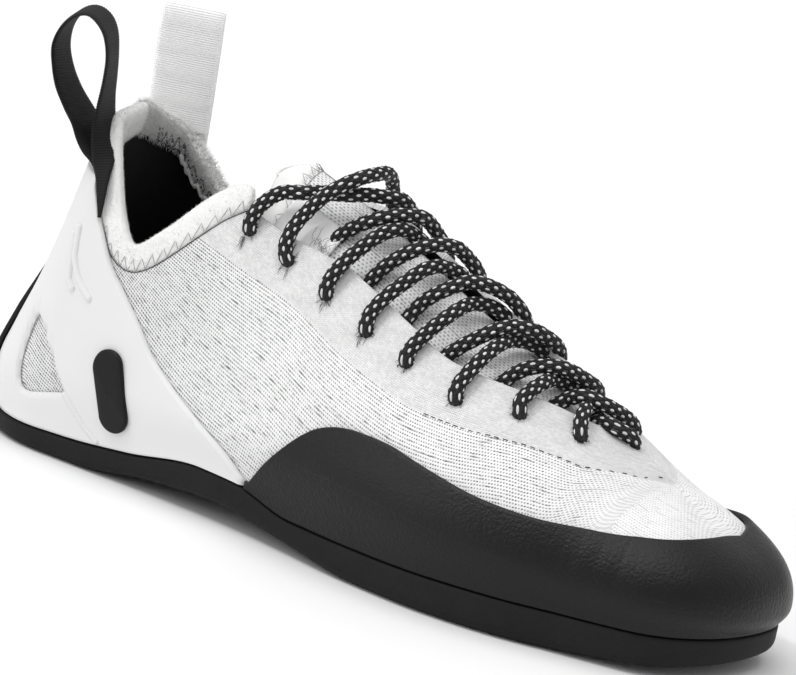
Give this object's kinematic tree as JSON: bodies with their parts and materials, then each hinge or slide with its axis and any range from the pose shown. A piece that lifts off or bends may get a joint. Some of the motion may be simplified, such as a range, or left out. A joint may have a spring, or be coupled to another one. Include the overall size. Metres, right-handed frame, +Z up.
{
  "type": "climbing shoe",
  "caption": "Low-cut laced climbing shoe with a knit upper, wrapped rubber rands, a smooth rubber sole, a padded collar and two webbing pull loops.",
  "frame": {"origin": "middle of the heel's flat spot, on the floor", "axes": "+X from heel to toe, +Y to the inner (medial) side, +Z up"},
  "size_m": [0.26, 0.0928, 0.1322],
  "materials": {
    "knit": "light grey heathered knit",
    "black_rubber": "matt smooth rubber",
    "insole_board": "matt",
    "tongue_knit": "padded knit",
    "fleece": "soft white fleece",
    "white_rubber": "satin moulded rubber",
    "black_webbing": "ribbed webbing",
    "white_webbing": "ribbed webbing",
    "lace_cord": "braided round cord with pale flecks"
  },
  "bodies": {
    "root": {"upper": "knit", "outsole": "black_rubber", "insole": "insole_board", "tongue": "tongue_knit", "tongue_binding": "fleece", "toe_rand": "black_rubber", "heel_rand": "white_rubber", "heel_strip": "black_rubber", "side_pad": "black_rubber", "collar_band": "fleece", "loop_black": "black_webbing", "loop_white": "white_webbing", "lace_cross_1": "lace_cord", "lace_cross_2": "lace_cord", "lace_cross_3": "lace_cord", "lace_cross_4": "lace_cord", "lace_cross_5": "lace_cord", "lace_cross_6": "lace_cord", "lace_low": "lace_cord", "lace_top": "lace_cord", "lace_curl": "lace_cord"}
  },
  "joints": []
}
